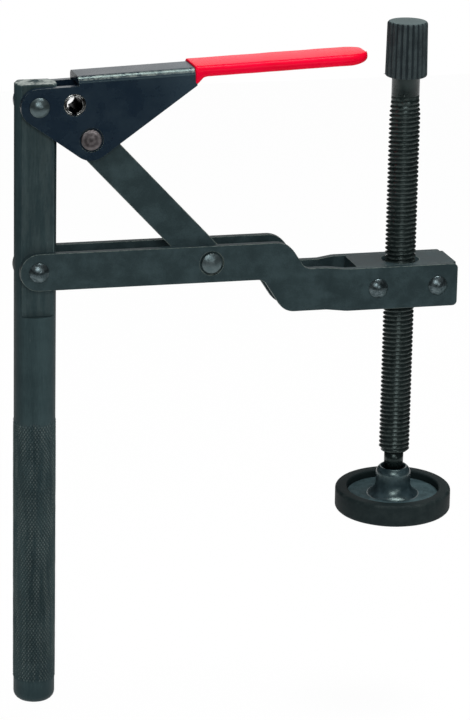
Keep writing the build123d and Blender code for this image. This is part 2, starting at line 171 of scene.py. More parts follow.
steelLook = {
    "base": tone(0.0138, 0.0250, 0.0285),
    "pale": tone(0.027, 0.045, 0.050),
    # pale tone for rubbed edges; where a piece lays painted light into the wear-and-light layer, this tone
    # paints it
    "wornAndPaintedLight": tone(0.105, 0.130, 0.118),
    "patch": 8.0,
    "smear": 2.2,  # times the patch
    "speckle": 0.5,
    "scuff": 1.9,
    "roughness": 0.44,
    "metal": 0.0,
    "specular": 0.20,
    "sheen": tone(0.78, 1.0, 0.97),
    "dots": 0.30,
    "bite": 0.04,
    # the lever's cheeks turn paler along X towards the grip: a painted sheen where the curving plate catches
    # the light; fade sets how much
    "paintedSheenStart": 40.0,
    "paintedSheenEnd": 66.0,
    "paintedSheen": tone(0.027, 0.045, 0.050),
    "fade": 0.0,
}


def blackenedSteel(name, look, streak=(1, 1, 1)):
    finish = Finish(name, {
        "Specular IOR Level": look["specular"], "Metallic": look["metal"], "Specular Tint": look["sheen"]})
    patches = finish.grain(look["patch"], 4, streak, 0.6)
    smears = finish.grain(look["smear"] * look["patch"], 5, (1, 1, 2.6), 0.65)
    speckle = finish.grain(look["speckle"], 3, streak, 0.7)
    scuffs = finish.grain(look["scuff"], 5, streak, 0.75)
    cloud = finish.between(patches * 0.55 + smears * 0.25 + speckle * 0.2, 0.40, 0.64)
    body = finish.mixed(cloud, look["base"], look["pale"])
    along = finish.node("ShaderNodeSeparateXYZ", {}, {"Vector": finish.place}, "X")
    # painted sheen: the body turns paler along X, towards the grip, by the share fade
    paintedSheen = finish.between(along, look["paintedSheenStart"] * mm, look["paintedSheenEnd"] * mm) * look["fade"]
    body = finish.mixed(paintedSheen, body, look["paintedSheen"])
    # rubbed edges, and painted light where the pieces lay it: highlights on the lever's folds and rim, a
    # reflection on the post's sawn end, glints on the knurl, pale thread crests against painted shade in the
    # roots
    rubbedAndPaintedLight = finish.attribute("wearAndPaintedLight") * finish.between(scuffs, 0.30, 0.62)
    dots = finish.between(speckle, 0.68, 0.78) * look["dots"]
    colour = finish.mixed(finish.between(rubbedAndPaintedLight + dots, 0.0, 1.0), body, look["wornAndPaintedLight"])
    roughness = look["roughness"] + 0.16 * patches - 0.12 * rubbedAndPaintedLight
    normal = finish.bump(speckle * 0.6 + scuffs * 0.4, look["bite"], 0.6)
    return finish.close(colour, roughness, normal)


plateSteel = blackenedSteel("plateSteel", steelLook)
# lever: the pale edge tone is partly rubbed edges and partly a painted highlight along the rim and the folds;
# fade=0.8 lays a painted sheen towards the grip
leverColours = dict(
    steelLook, base=tone(0.0045, 0.0110, 0.0222), pale=tone(0.0095, 0.0180, 0.0300),
    wornAndPaintedLight=tone(0.27, 0.32, 0.29), patch=11.0, speckle=0.42, roughness=0.20, specular=0.30,
    sheen=tone(0.72, 1.0, 0.94), dots=0.12, bite=0.06, paintedSheen=tone(0.026, 0.044, 0.060), fade=0.8)
leverSteel = blackenedSteel("leverSteel", leverColours)
# post: the pale edge tone also paints glints on the knurl crests and the sky's reflection on the sawn end
postColours = dict(
    steelLook, base=tone(0.0155, 0.0285, 0.0320), pale=tone(0.031, 0.052, 0.056), wornAndPaintedLight=tone(0.25, 0.28, 0.26),
    patch=14.0, specular=0.12)
postSteel = blackenedSteel("postSteel", postColours, (1, 1, 0.12))
# thread: the pale edge tone goes on the crests, so the roots stay dark as painted shade
threadColours = dict(
    steelLook, base=tone(0.005, 0.0085, 0.0085), pale=tone(0.009, 0.015, 0.015),
    wornAndPaintedLight=tone(0.034, 0.044, 0.042), roughness=0.20, specular=0.3, dots=0.0)
threadSteel = blackenedSteel("threadSteel", threadColours)
headColours = dict(
    steelLook, base=tone(0.080, 0.110, 0.116), pale=tone(0.120, 0.155, 0.162), wornAndPaintedLight=tone(0.22, 0.25, 0.24),
    patch=2.0, roughness=0.28, metal=0.85, dots=0.0)
headSteel = blackenedSteel("headSteel", headColours)
studColours = dict(
    headColours, base=tone(0.036, 0.052, 0.057), pale=tone(0.125, 0.160, 0.170), roughness=0.22)
studSteel = blackenedSteel("studSteel", studColours)
# spring pin: near-black tones over the whole pin, set to darken its bore: painted shade in the bore; only the
# ends turn bright
ringColours = dict(
    steelLook, base=tone(0.003, 0.003, 0.003), pale=tone(0.010, 0.011, 0.011), wornAndPaintedLight=tone(0.80, 0.82, 0.80),
    patch=1.6, roughness=0.20, metal=1.0, sheen=tone(0.4, 0.4, 0.4), dots=0.0)
ringSteel = blackenedSteel("ringSteel", ringColours)
socketColours = dict(
    steelLook, base=tone(0.008, 0.018, 0.023), pale=tone(0.032, 0.055, 0.064), wornAndPaintedLight=tone(0.16, 0.19, 0.18),
    patch=5.0, roughness=0.22, specular=0.9)
socketSteel = blackenedSteel("socketSteel", socketColours)
discColours = dict(
    steelLook, base=tone(0.034, 0.058, 0.065), pale=tone(0.066, 0.106, 0.116), patch=4.0, roughness=0.55,
    specular=0.07)
discSteel = blackenedSteel("discSteel", discColours)


turnedLook = {
    "base": tone(0.070, 0.062, 0.064), "pale": tone(0.250, 0.228, 0.232), "ring": 0.34, "roughness": 0.30,
}


def turnedSteel(name, centre):  # bare end of a pin, with the rings that the tool left round its middle
    look = turnedLook
    finish = Finish(name, {"Metallic": 0.9})
    back = [-value for value in centre]
    seat = finish.node("ShaderNodeMapping", {}, {"Vector": finish.place, "Location": back})
    rings = finish.node(
        "ShaderNodeTexWave", {"wave_type": "RINGS", "rings_direction": "Y"},
        {"Vector": seat, "Scale": 1 / (look["ring"] * mm * 20), "Distortion": 2.0, "Detail": 2.0}, "Fac")
    patches = finish.grain(1.5, 3)
    shade = finish.between(patches * 0.75 + rings * 0.25, 0.20, 0.80)
    colour = finish.mixed(shade, look["base"], look["pale"])
    return finish.close(colour, look["roughness"] + 0.1 * patches, finish.bump(rings, 0.012, 0.8))


vinylLook = {
    "bright": tone(0.76, 0.001, 0.030), "deep": tone(0.69, 0.001, 0.021), "sheen": tone(1.0, 0.82, 1.0),
    "specular": 0.05, "flow": 22, "skin": 1.3, "roughness": 0.20, "bite": 0.22,
}


def dippedVinyl():
    look = vinylLook
    finish = Finish("dippedVinyl", {"Specular IOR Level": look["specular"], "Specular Tint": look["sheen"]})
    flow = finish.grain(look["flow"], 2)
    skin = finish.grain(look["skin"], 3)
    colour = finish.mixed(finish.between(flow, 0.35, 0.7), look["bright"], look["deep"])
    normal = finish.bump(flow * 0.8 + skin * 0.2, look["bite"], 0.35)
    return finish.close(colour, look["roughness"] + 0.10 * skin, normal)


plasticLook = {
    "base": tone(0.0045, 0.0085, 0.011), "pale": tone(0.014, 0.024, 0.029), "wornAndPaintedLight": tone(0.075, 0.105, 0.106),
    "specular": 0.2, "grit": 0.30, "cloud": 4, "roughness": 0.50, "bite": 0.05,
    "paintedTopLightLow": 149.1, "paintedTopLightHigh": 149.4,  # the crown turns pale between these two heights: a painted reflection of the light above on the upward face
}


def mouldedPlastic():
    look = plasticLook
    finish = Finish("mouldedPlastic", {"Specular IOR Level": look["specular"]})
    grit = finish.grain(look["grit"], 3)
    cloud = finish.grain(look["cloud"], 3)
    body = finish.mixed(cloud, look["base"], look["pale"])
    # ridges paler than the flutes, in patches
    ridge = finish.attribute("wearAndPaintedLight") * finish.between(grit * 0.6 + cloud * 0.4, 0.30, 0.62)
    height = finish.node("ShaderNodeSeparateXYZ", {}, {"Vector": finish.place}, "Z")
    # painted reflection: the knob's top face turns pale
    crown = finish.between(height, look["paintedTopLightLow"] * mm, look["paintedTopLightHigh"] * mm)
    colour = finish.mixed(ridge * 0.45 + crown * 0.9, body, look["wornAndPaintedLight"])
    return finish.close(colour, look["roughness"] + 0.2 * grit, finish.bump(grit, look["bite"], 0.6))


rubberLook = {
    "base": tone(0.0055, 0.0105, 0.0115), "pale": tone(0.0135, 0.023, 0.024),
    "wornAndPaintedLight": tone(0.060, 0.070, 0.068), "specular": 0.08, "grit": 0.5, "scuff": 4.5, "roughness": 0.50,
    "bite": 0.06,
}


def blackRubber():
    look = rubberLook
    finish = Finish("blackRubber", {"Specular IOR Level": look["specular"]})
    grit = finish.grain(look["grit"], 3)
    scuff = finish.grain(look["scuff"], 6, (1, 1, 1), 0.7)
    rubbedAndPaintedLight = finish.attribute("wearAndPaintedLight") * finish.between(scuff, 0.4, 0.65)
    body = finish.mixed(scuff, look["base"], look["pale"])
    specks = finish.between(grit, 0.66, 0.78) * 0.2
    colour = finish.mixed(rubbedAndPaintedLight * 0.5 + specks, body, look["wornAndPaintedLight"])
    normal = finish.bump(grit * 0.6 + scuff * 0.4, look["bite"], 0.6)
    return finish.close(colour, look["roughness"] + 0.2 * scuff, normal)


vinylRed = dippedVinyl()
knobPlastic = mouldedPlastic()
padRubber = blackRubber()
print("finishes made")


# mesh helpers

# one layer for rubbed edges and for painted light and shade
def wearAndPaintedLightLayer(work):
    return work.loops.layers.float.get("wearAndPaintedLight") or work.loops.layers.float.new("wearAndPaintedLight")


def easeEdges(work, edges, radius, segments=2, wornAndPaintedLight=1.0):  # rounds edges and marks the rounding in the wear-and-light layer: rubbed edges, and on the lever also a painted highlight along the rim
    layer = wearAndPaintedLightLayer(work)
    made = bmesh.ops.bevel(
        work, geom=edges, offset=radius * mm, offset_type="OFFSET", segments=segments, profile=0.5,
        affect="EDGES", clamp_overlap=True, material=-1)
    for face in made["faces"]:
        face.smooth = True
        for loop in face.loops:
            loop[layer] = wornAndPaintedLight


def sharpEdges(work, degrees=28):
    return [edge for edge in work.edges if edge.is_manifold and edge.calc_face_angle(0) > radians(degrees)]


def cadCopy(node):  # a node's own form, merged, with its flat faces whole again
    work = bmesh.new()
    work.from_mesh(frame["nodes"][node].data)
    bmesh.ops.remove_doubles(work, verts=work.verts, dist=0.002 * mm)
    bmesh.ops.dissolve_limit(
        work, angle_limit=radians(0.3), use_dissolve_boundaries=False, verts=work.verts, edges=work.edges)
    for face in work.faces:
        face.smooth = True
    return work


def softOutline(corners, steps=6):  # (radius, height, rounding) corners to a line with its corners rounded
    line = []
    for index, (radius, height, rounding) in enumerate(corners):
        here = Vector((radius, height))
        if rounding == 0 or index in (0, len(corners) - 1):
            line.append(here)
            continue
        back = (Vector(corners[index - 1][:2]) - here).normalized()
        ahead = (Vector(corners[index + 1][:2]) - here).normalized()
        half = back.angle(ahead) / 2
        reach = rounding * cos(half) / sin(half)
        middle = here + (back + ahead).normalized() * rounding / sin(half)
        start, end = here + back * reach - middle, here + ahead * reach - middle
        turn = start.angle_signed(end)
        for step in range(steps + 1):
            arm = start.copy()
            arm.rotate(Matrix.Rotation(-turn * step / steps, 2))
            line.append(middle + arm)
    return line


def lathe(work, line, steps, pitch=0.0):  # turns a line of (radius, height) points about Z, in mm
    points = [work.verts.new((radius * mm, 0, height * mm)) for radius, height in line]
    edges = [work.edges.new(pair) for pair in zip(points, points[1:])]
    bmesh.ops.spin(
        work, geom=points + edges, cent=(0, 0, 0), axis=(0, 0, 1), dvec=(0, 0, pitch * mm / steps),
        angle=2 * pi, steps=steps, use_merge=(pitch == 0), use_duplicate=False)
    bmesh.ops.remove_doubles(work, verts=work.verts, dist=0.002 * mm)
    for face in work.faces:
        face.smooth = True


def faceOut(work):
    bmesh.ops.recalc_face_normals(work, faces=work.faces)
    if work.calc_volume(signed=True) < 0:
        bmesh.ops.reverse_faces(work, faces=work.faces)


def settle(work, name, node, material):  # a finished bmesh becomes a piece that stands for a node
    wearAndPaintedLightLayer(work)
    mesh = bpy.data.meshes.new(name)
    work.to_mesh(mesh)
    work.free()
    piece = bpy.data.objects.new(name, mesh)
    bpy.context.scene.collection.objects.link(piece)
    mesh.materials.append(material)
    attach(piece, frame["nodes"][node]["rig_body"])
    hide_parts(node)
    return piece


def evenShading(piece):  # keeps large flats flat beside their rounded edges
    weighted = piece.modifiers.new("evenShading", "WEIGHTED_NORMAL")
    weighted.keep_sharp = True
    weighted.weight = 100


def nodeSize(node):
    low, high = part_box(node)
    return (low + high) / 2 / mm, (high - low) / mm


# post: flats, knurl and the rough top

postLook = {
    "radius": 8.0, "footRadius": 3.5, "flatHalf": 5.0, "flatStart": 41.5, "chamfer": 0.6,
    "knurlBottom": -106.0, "knurlPeak": 8.35, "knurlValley": 7.78, "diamonds": 40, "knurlRow": 0.95,
    "footReach": 8, "core": 7, "knurlStart": 0.4, "knurlFade": 1.2, "blunt": 0.06, "ridgeWearAndGlint": 0.48,
    "topRings": (6.2, 4.9, 3.7, 2.6, 1.6, 0.8, 0), "flatWear": 0.14, "edge": 0.28,
    "burrRise": 0.5, "burrReach": 3.2, "burrPlace": (0.4, 1.2),
}


def makePost():
    look = postLook
    low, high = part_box("post")
    bottom, pipTop = low.z / mm, high.z / mm
    top = pipTop - look["burrRise"]
    rows = round(-look["knurlBottom"] / look["knurlRow"])
    rise = -look["knurlBottom"] / rows
    bar = look["radius"]
    line = softOutline([
        (0, bottom, 0), (bar, bottom, look["footRadius"]), (bar, bottom + look["footReach"], 0)])
    line += [Vector((bar, look["knurlBottom"] + rise * row)) for row in range(rows + 1)]
    line += [Vector((bar, height)) for height in (look["flatStart"], look["flatStart"] + 0.02)]
    line += [Vector((bar, top - look["chamfer"])), Vector((bar - look["chamfer"], top))]
    line += [Vector((radius, top)) for radius in look["topRings"]]
    work = bmesh.new()
    lathe(work, line, 2 * look["diamonds"])
    # the two milled flats
    above = look["flatStart"] * mm + 1e-6
    for side in (1, -1):
        upper = [face for face in work.faces if face.calc_center_median().z > above]
        around = set(vert for face in upper for vert in face.verts)
        between = set(edge for face in upper for edge in face.edges)
        bmesh.ops.bisect_plane(
            work, geom=upper + list(between) + list(around), dist=1e-7,
            plane_co=(0, side * look["flatHalf"] * mm, 0), plane_no=(0, 1, 0))
    limit = look["flatHalf"] * mm
    for vert in work.verts:
        if vert.co.z > above and abs(vert.co.y) > limit:
            vert.co.y = limit if vert.co.y > 0 else -limit
    bmesh.ops.remove_doubles(work, verts=work.verts, dist=0.002 * mm)
    bmesh.ops.dissolve_degenerate(work, edges=work.edges, dist=1e-7)
    # the knurl: peaks and valleys take turns, and each cell is cut along its groove
    step = pi / look["diamonds"]
    layer = wearAndPaintedLightLayer(work)
    core = look["core"] * mm
    for face in list(work.faces):
        middle = face.calc_center_median()
        if not look["knurlBottom"] * mm < middle.z < 0 or hypot(middle.x, middle.y) < core:
            continue
        valleys = []
        for vert in face.verts:
            column = round(atan2(vert.co.y, vert.co.x) / step)
            row = round((vert.co.z / mm - look["knurlBottom"]) / rise)
            if (column + row) % 2:
                valleys.append(vert)
        bmesh.utils.face_split(face, *valleys)
    for vert in work.verts:
        height = vert.co.z / mm
        if not look["knurlBottom"] - 0.1 < height < 0.1 or hypot(vert.co.x, vert.co.y) < core:
            continue
        column = round(atan2(vert.co.y, vert.co.x) / step)
        row = round((height - look["knurlBottom"]) / rise)
        ragged = noise.noise(vert.co * 300)
        fade = min(1, max(0, (-height - look["knurlStart"] + ragged) / look["knurlFade"]))
        fade = fade * min(1, (height - look["knurlBottom"]) / 1.0)
        valley = (column + row) % 2
        wanted = look["knurlValley"] if valley else look["knurlPeak"] - look["blunt"] * (1 + ragged)
        radius = look["radius"] + (wanted - look["radius"]) * fade
        scale = radius * mm / hypot(vert.co.x, vert.co.y)
        vert.co.x *= scale
        vert.co.y *= scale
        # knurl peaks: partly rubbed crests, partly painted glints
        for loop in vert.link_loops:
            loop[layer] = 0.0 if valley else look["ridgeWearAndGlint"] * fade
            loop.face.smooth = False
    # the flats are ground a little paler, and a torn burr stands on the sawn end; the sawn end round the burr
    # turns pale, partly bare steel and partly a painted reflection of the sky
    work.normal_update()
    for face in work.faces:
        if abs(face.normal.y) > 0.95 and face.calc_center_median().z > above:
            for loop in face.loops:
                loop[layer] = look["flatWear"]
    burrX, burrY = look["burrPlace"]
    for vert in work.verts:
        if abs(vert.co.z - top * mm) < 1e-6:
            away = Vector((vert.co.x / mm - burrX, vert.co.y / mm - burrY))
            lump = max(0, 1 - away.length / look["burrReach"]) * (0.6 + 0.9 * noise.noise(vert.co * 900))
            vert.co.z += min(look["burrRise"], max(-0.25, lump * 0.8)) * mm
            # pale sawn end: partly bare steel, partly a painted reflection of the sky on the upward face; the
            # burr stays dark
            for loop in vert.link_loops:
                if abs(loop.face.normal.z) > 0.5:
                    loop[layer] = max(0.0, 1 - 3 * lump)
    crisp = [
        edge for edge in sharpEdges(work) if min(vert.co.z for vert in edge.verts) > above - 0.03 * mm
        and max(hypot(vert.co.x, vert.co.y) for vert in edge.verts) > 4.7 * mm]
    easeEdges(work, crisp, look["edge"])
    faceOut(work)
    evenShading(settle(work, "postBar", "post", postSteel))


makePost()
print("post made")


# pressed and sawn steel: lever, arm plates, link and block

pressings = {
    "lever": ("leverChannel", 0.65, leverSteel),
    "link": ("linkBar", 0.32, plateSteel),
    "arm_plate_front": ("frontPlate", 0.40, plateSteel),
    "arm_plate_rear": ("rearPlate", 0.40, plateSteel),
    "thread_block": ("threadBlock", 0.35, plateSteel),
}
# share of the pale edge tone on the lever's folds: a painted highlight
foldHighlight = 0.52
for node, (name, easing, steel) in pressings.items():
    work = cadCopy(node)
    layer = wearAndPaintedLightLayer(work)
    for face in work.faces:  # a painted highlight along the lever's two folds, laid into the wear-and-light layer
        folded = node == "lever" and face.normal.z > 0.35 and abs(face.normal.y) > 0.3
        for loop in face.loops:
            loop[layer] = foldHighlight if folded else 0.0
    easeEdges(work, sharpEdges(work), easing)
    evenShading(settle(work, name, node, steel))
print("pressings made")


# spring pin: a strip rolled round, with its slot at the foot

springLook = {
    "outer": 4.2, "bore": 2.90, "boreBack": 3.10, "rim": 0.44, "hollow": 0.30, "slot": 2.2,
    "blunt": 0.12, "dip": 0.08, "edgeWear": 0.6, "steps": 56, "tilt": 2.2,
}


def makeSpringPin():
    look = springLook
    middle, size = nodeSize("stop_pin")
    half = size.y / 2
    outer, rim, blunt, dip = look["outer"], look["rim"], look["blunt"], look["dip"]
    ends = []
    for bore in (look["bore"], look["boreBack"]):
        ends.append([
            (bore, half - rim), (bore + blunt, half - dip), (bore + rim, half),
            ((outer + bore) / 2, half - look["hollow"]), (outer - rim, half), (outer - blunt, half - dip),
            (outer, half - rim)])
    outline = ends[0] + [(radius, -height) for radius, height in reversed(ends[1])]
    work = bmesh.new()
    corners = [work.verts.new((radius * mm, 0, height * mm)) for radius, height in outline]
    edges = [work.edges.new((corner, corners[index - 1])) for index, corner in enumerate(corners)]
    gap = look["slot"] / outer
    bmesh.ops.spin(
        work, geom=corners + edges, cent=(0, 0, 0), axis=(0, 0, 1), dvec=(0, 0, 0), angle=2 * pi - gap,
        steps=look["steps"], use_merge=False, use_duplicate=False)
    bmesh.ops.holes_fill(work, edges=[edge for edge in work.edges if edge.is_boundary], sides=len(outline))
    layer = wearAndPaintedLightLayer(work)
    for face in work.faces:
        face.smooth = len(face.verts) == 4
    slotTurn = Matrix.Rotation(radians(-90 - look["tilt"]) + gap / 2, 3, "Z")
    turn = Matrix.Rotation(radians(90), 3, "X") @ slotTurn
    bmesh.ops.rotate(work, verts=work.verts, cent=(0, 0, 0), matrix=turn)
    for vert in work.verts:  # the edges of both ends are bright
        for loop in vert.link_loops:
            loop[layer] = look["edgeWear"] if abs(vert.co.y) > (half - blunt) * mm else 0.0
    bmesh.ops.translate(work, verts=work.verts, vec=middle * mm)
    faceOut(work)
    settle(work, "springPin", "stop_pin", ringSteel)


makeSpringPin()


# rivets and link pins

headLook = {
    "flank": 0.15, "sweep": 14, "rivetShank": 3.0, "pinShank": 3.5,
    "cheekOuter": 8.0, "blockOuter": 11.4, "pinSeat": 7.0,
}


def makeRivet(node, name, material, shank, headStart, headHeight, wobble):
    middle, size = nodeSize(node)
    radius, halfLength = size.x / 2, size.y / 2
    seat = halfLength - headHeight
    shoulder = seat + headHeight * headLook["flank"]
    rise = halfLength - shoulder
    curve = (radius ** 2 + rise ** 2) / (2 * rise)
    sweep = headLook["sweep"]
    line = [Vector((0, 0)), Vector((shank, 0)), Vector((shank, headStart)), Vector((radius, headStart))]
    reach = atan2(radius, curve - rise)
    for step in range(sweep + 1):
        angle = reach * (1 - step / sweep)
        line.append(Vector((curve * sin(angle), halfLength - curve + curve * cos(angle))))
    line[-1].x = 0
    work = bmesh.new()
    lathe(work, line, 48)
    for vert in work.verts:
        if vert.co.z > shoulder * mm:
            vert.co.z -= wobble * mm * (0.5 + 0.5 * noise.noise(vert.co * 420 + middle))
    seam = (headStart - 0.01) * mm
    rim = [edge for edge in sharpEdges(work) if min(vert.co.z for vert in edge.verts) > seam]
    easeEdges(work, rim, 0.12, wornAndPaintedLight=0.5)
    back = bmesh.ops.duplicate(work, geom=work.verts[:] + work.edges[:] + work.faces[:])["geom"]
    turned = [item for item in back if isinstance(item, bmesh.types.BMVert)]
    bmesh.ops.rotate(work, verts=turned, cent=(0, 0, 0), matrix=Matrix.Rotation(pi, 3, "X"))
    inner = [face for face in work.faces if all(abs(vert.co.z) < 1e-6 for vert in face.verts)]
    bmesh.ops.delete(work, geom=inner, context="FACES")
    bmesh.ops.remove_doubles(work, verts=work.verts, dist=0.002 * mm)
    bmesh.ops.rotate(work, verts=work.verts, cent=(0, 0, 0), matrix=Matrix.Rotation(radians(90), 3, "X"))
    bmesh.ops.translate(work, verts=work.verts, vec=middle * mm)
    faceOut(work)
    settle(work, name, node, material)


cheek, block, pinSeat = headLook["cheekOuter"], headLook["blockOuter"], headLook["pinSeat"]
rivetShank, pinShank = headLook["rivetShank"], headLook["pinShank"]
pinTurned = turnedSteel("turnedSteel", nodeSize("link_upper_pin")[0] * mm)
makeRivet("lever_rivet", "leverRivet", headSteel, rivetShank, cheek, 2.0, 0.16)
makeRivet("arm_rivet", "armRivet", studSteel, rivetShank, cheek, 2.0, 0.12)
makeRivet("block_rivet_inner", "blockRivetInner", studSteel, rivetShank, block, 2.0, 0.08)
makeRivet("block_rivet_outer", "blockRivetOuter", studSteel, rivetShank, block, 2.0, 0.08)
makeRivet("link_upper_pin", "linkPinUpper", pinTurned, pinShank, pinSeat, 0.3, 0.05)
makeRivet("link_lower_pin", "linkPinLower", headSteel, pinShank, pinSeat, 1.1, 0.08)
print("rivets and pins made")


# spindle: a real helix for its rolled thread

threadLook = {
    "pitch": 1.75, "crest": 6.0, "root": 5.02, "bottom": -22.2, "top": 121.5, "steps": 40,
    "shank": 5.4, "neck": 3.8, "ball": 5.3, "ballHeight": -35.0, "shankTop": 142.0,
    "runOut": 8.0, "runOutCurve": 1.6, "chamferFoot": 5.2, "shankEdge": 0.4,
}


def makeSpindle():
    look = threadLook
    low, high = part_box("spindle")
    reach = (low.x + high.x) / 2
    pitch, crest, root = look["pitch"], look["crest"], look["root"]
    turns = int((look["top"] - look["bottom"]) / pitch) + 3
    # one turn of the thread: share of the pitch, radius
    form = ((0.00, root), (0.08, root), (0.42, crest), (0.50, crest), (0.58, crest), (0.92, root))
    line = []
    for turn in range(turns):
        base = look["bottom"] + (turn - 2) * pitch
        line += [Vector((radius, base + share * pitch)) for share, radius in form]
    line.append(Vector((root, look["bottom"] + (turns - 2) * pitch)))
    work = bmesh.new()
    lathe(work, line, look["steps"], pitch)
    for height, side in ((look["bottom"], 1), (look["top"], -1)):
        everything = work.verts[:] + work.edges[:] + work.faces[:]
        bmesh.ops.bisect_plane(
            work, geom=everything, dist=1e-7, plane_co=(0, 0, height * mm), plane_no=(0, 0, side),
            clear_inner=True)
    layer = wearAndPaintedLightLayer(work)
    for vert in work.verts:
        radius, height = hypot(vert.co.x, vert.co.y) / mm, vert.co.z / mm
        fromTop, fromBottom = look["top"] - height, height - look["bottom"]
        fade = min(1, max(0, fromTop / look["runOut"]))
        wanted = look["shank"] + (radius - look["shank"]) * fade ** look["runOutCurve"]
        wanted = min(wanted, look["chamferFoot"] + fromBottom)
        # crests pale, roots dark: painted shade in the thread's roots
        for loop in vert.link_loops:
            loop[layer] = min(1, max(0, (radius - root) / (crest - root)))
        vert.co.x *= wanted / radius
        vert.co.y *= wanted / radius
    bmesh.ops.holes_fill(work, edges=[edge for edge in work.edges if edge.is_boundary])
    # neck, ball and plain shank
    ball, neck = look["ball"], look["neck"]
    line = [Vector((ball * sin(angle), look["ballHeight"] - ball * cos(angle)))
            for angle in [pi * step / 20 for step in range(16)]]
    line[0].x = 0
    ballTop = look["ballHeight"] + sqrt(ball ** 2 - neck ** 2)
    line += [Vector((neck, ballTop)), Vector((neck, look["bottom"] + 1)), Vector((0, look["bottom"] + 1))]
    lathe(work, line, look["steps"])
    line = softOutline([(0, look["top"] - 1, 0), (look["shank"], look["top"] - 1, 0),
                        (look["shank"], look["shankTop"], look["shankEdge"]), (0, look["shankTop"], 0)])
    lathe(work, line, look["steps"])
    bmesh.ops.translate(work, verts=work.verts, vec=(reach, 0, 0))
    faceOut(work)
    settle(work, "screwSpindle", "spindle", threadSteel)


makeSpindle()
print("spindle made")


# knob: moulded, fluted and slightly tapered

knobLook = {
    "flutes": 22, "perFlute": 12, "footRadius": 8.1, "topRadius": 7.75, "footEdge": 0.9,
    "topEdge": 1.1, "fluteDepth": 0.55, "fluteShare": 0.42, "bore": 5.42, "boreDepth": 13, "crown": 0.25,
    "wallParts": 8, "flashThick": 0.2, "flashLength": 2.0, "flashPlace": (-8.4, -0.9, 1.3),
}


def makeKnob():
    look = knobLook
    low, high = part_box("knob")
    reach = (low.x + high.x) / 2
    seat, top = low.z / mm, high.z / mm
    around = look["flutes"] * look["perFlute"]
    crown = look["crown"]
    line = softOutline([
        (look["bore"], seat, 0), (look["footRadius"], seat, look["footEdge"]),
        (look["topRadius"], top - crown, look["topEdge"]), (0, top, 0)])
    wall, parts = 8, look["wallParts"]  # the bore's rim and the foot's rounding come before the wall
    foot, span = line[wall - 1], line[wall] - line[wall - 1]
    middle = [foot + span * share / parts for share in range(1, parts)]
    inner = [line[-2] + (line[-1] - line[-2]) * share for share in (0.15, 0.5)]
    line = line[:wall] + middle + line[wall:-1] + inner + line[-1:]
    work = bmesh.new()
    lathe(work, line, around)
    layer = wearAndPaintedLightLayer(work)
    for vert in work.verts:
        radius, height = hypot(vert.co.x, vert.co.y) / mm, vert.co.z / mm
        if radius < look["bore"] + 0.2:
            continue
        share = (atan2(vert.co.y, vert.co.x) / (2 * pi) * look["flutes"]) % 1
        groove = sqrt(max(0, 1 - (abs(share - 0.5) * 2 / look["fluteShare"]) ** 2))
        taper = (look["footRadius"] - look["topRadius"]) * (height - seat) / (top - seat)
        floor = look["footRadius"] - look["fluteDepth"] - taper
        wanted = radius - max(0, radius - floor) * groove
        # the ridges between the flutes are marked for a paler tone; the flute floors stay dark
        for loop in vert.link_loops:
            loop[layer] = 1 - groove
        vert.co.x *= wanted / radius
        vert.co.y *= wanted / radius
    # bore wall, so that the foot isn't an open shell
    rim = [edge for edge in work.edges if edge.is_boundary]
    deeper = bmesh.ops.extrude_edge_only(work, edges=rim)["geom"]
    moved = [item for item in deeper if isinstance(item, bmesh.types.BMVert)]
    bmesh.ops.translate(work, verts=moved, vec=(0, 0, look["boreDepth"] * mm))
    bmesh.ops.holes_fill(work, edges=[edge for edge in work.edges if edge.is_boundary])
    # hair of flash at the foot
    flashX, flashY, flashRise = look["flashPlace"]
    flash = bmesh.ops.create_cone(
        work, cap_ends=True, segments=8, radius1=look["flashThick"] * mm, radius2=0.04 * mm,
        depth=look["flashLength"] * mm)
    turn = Matrix.Rotation(radians(12), 3, "Z") @ Matrix.Rotation(radians(-82), 3, "Y")
    bmesh.ops.rotate(work, verts=flash["verts"], cent=(0, 0, 0), matrix=turn)
    bmesh.ops.translate(work, verts=flash["verts"], vec=(flashX * mm, flashY * mm, (seat + flashRise) * mm))
    bmesh.ops.translate(work, verts=work.verts, vec=(reach, 0, 0))
    faceOut(work)
    settle(work, "flutedKnob", "knob", knobPlastic)


makeKnob()
print("knob made")


# swivel pad

padLook = {
    "tilt": 2.6, "sideTilt": 1.0, "radius": 22.79, "bore": 18.0, "rimTop": -2.3, "floor": -5.3, "face": -11.1,
    "disc": 1.6, "discRadius": 20.0, "bossReach": 11.0, "edge": 1.2, "innerEdge": 0.7, "floorEdge": 0.35,
    "waver": 0.12, "rubReach": 1.4, "pressedEdge": 0.3, "pressedWear": 0.1,
}


def placePad(work, reach):  # from the ball's centre, upright, to its place under the spindle
    look = padLook
    up = Vector((-tan(radians(look["sideTilt"])), -tan(radians(look["tilt"])), 1)).normalized()
    front = Vector((1, 0, 0)).cross(up)
    lean = Matrix((up.cross(front), -front, up)).transposed()
    bmesh.ops.rotate(work, verts=work.verts, cent=(0, 0, 0), matrix=lean)
    bmesh.ops.translate(work, verts=work.verts, vec=(reach, 0, threadLook["ballHeight"] * mm))


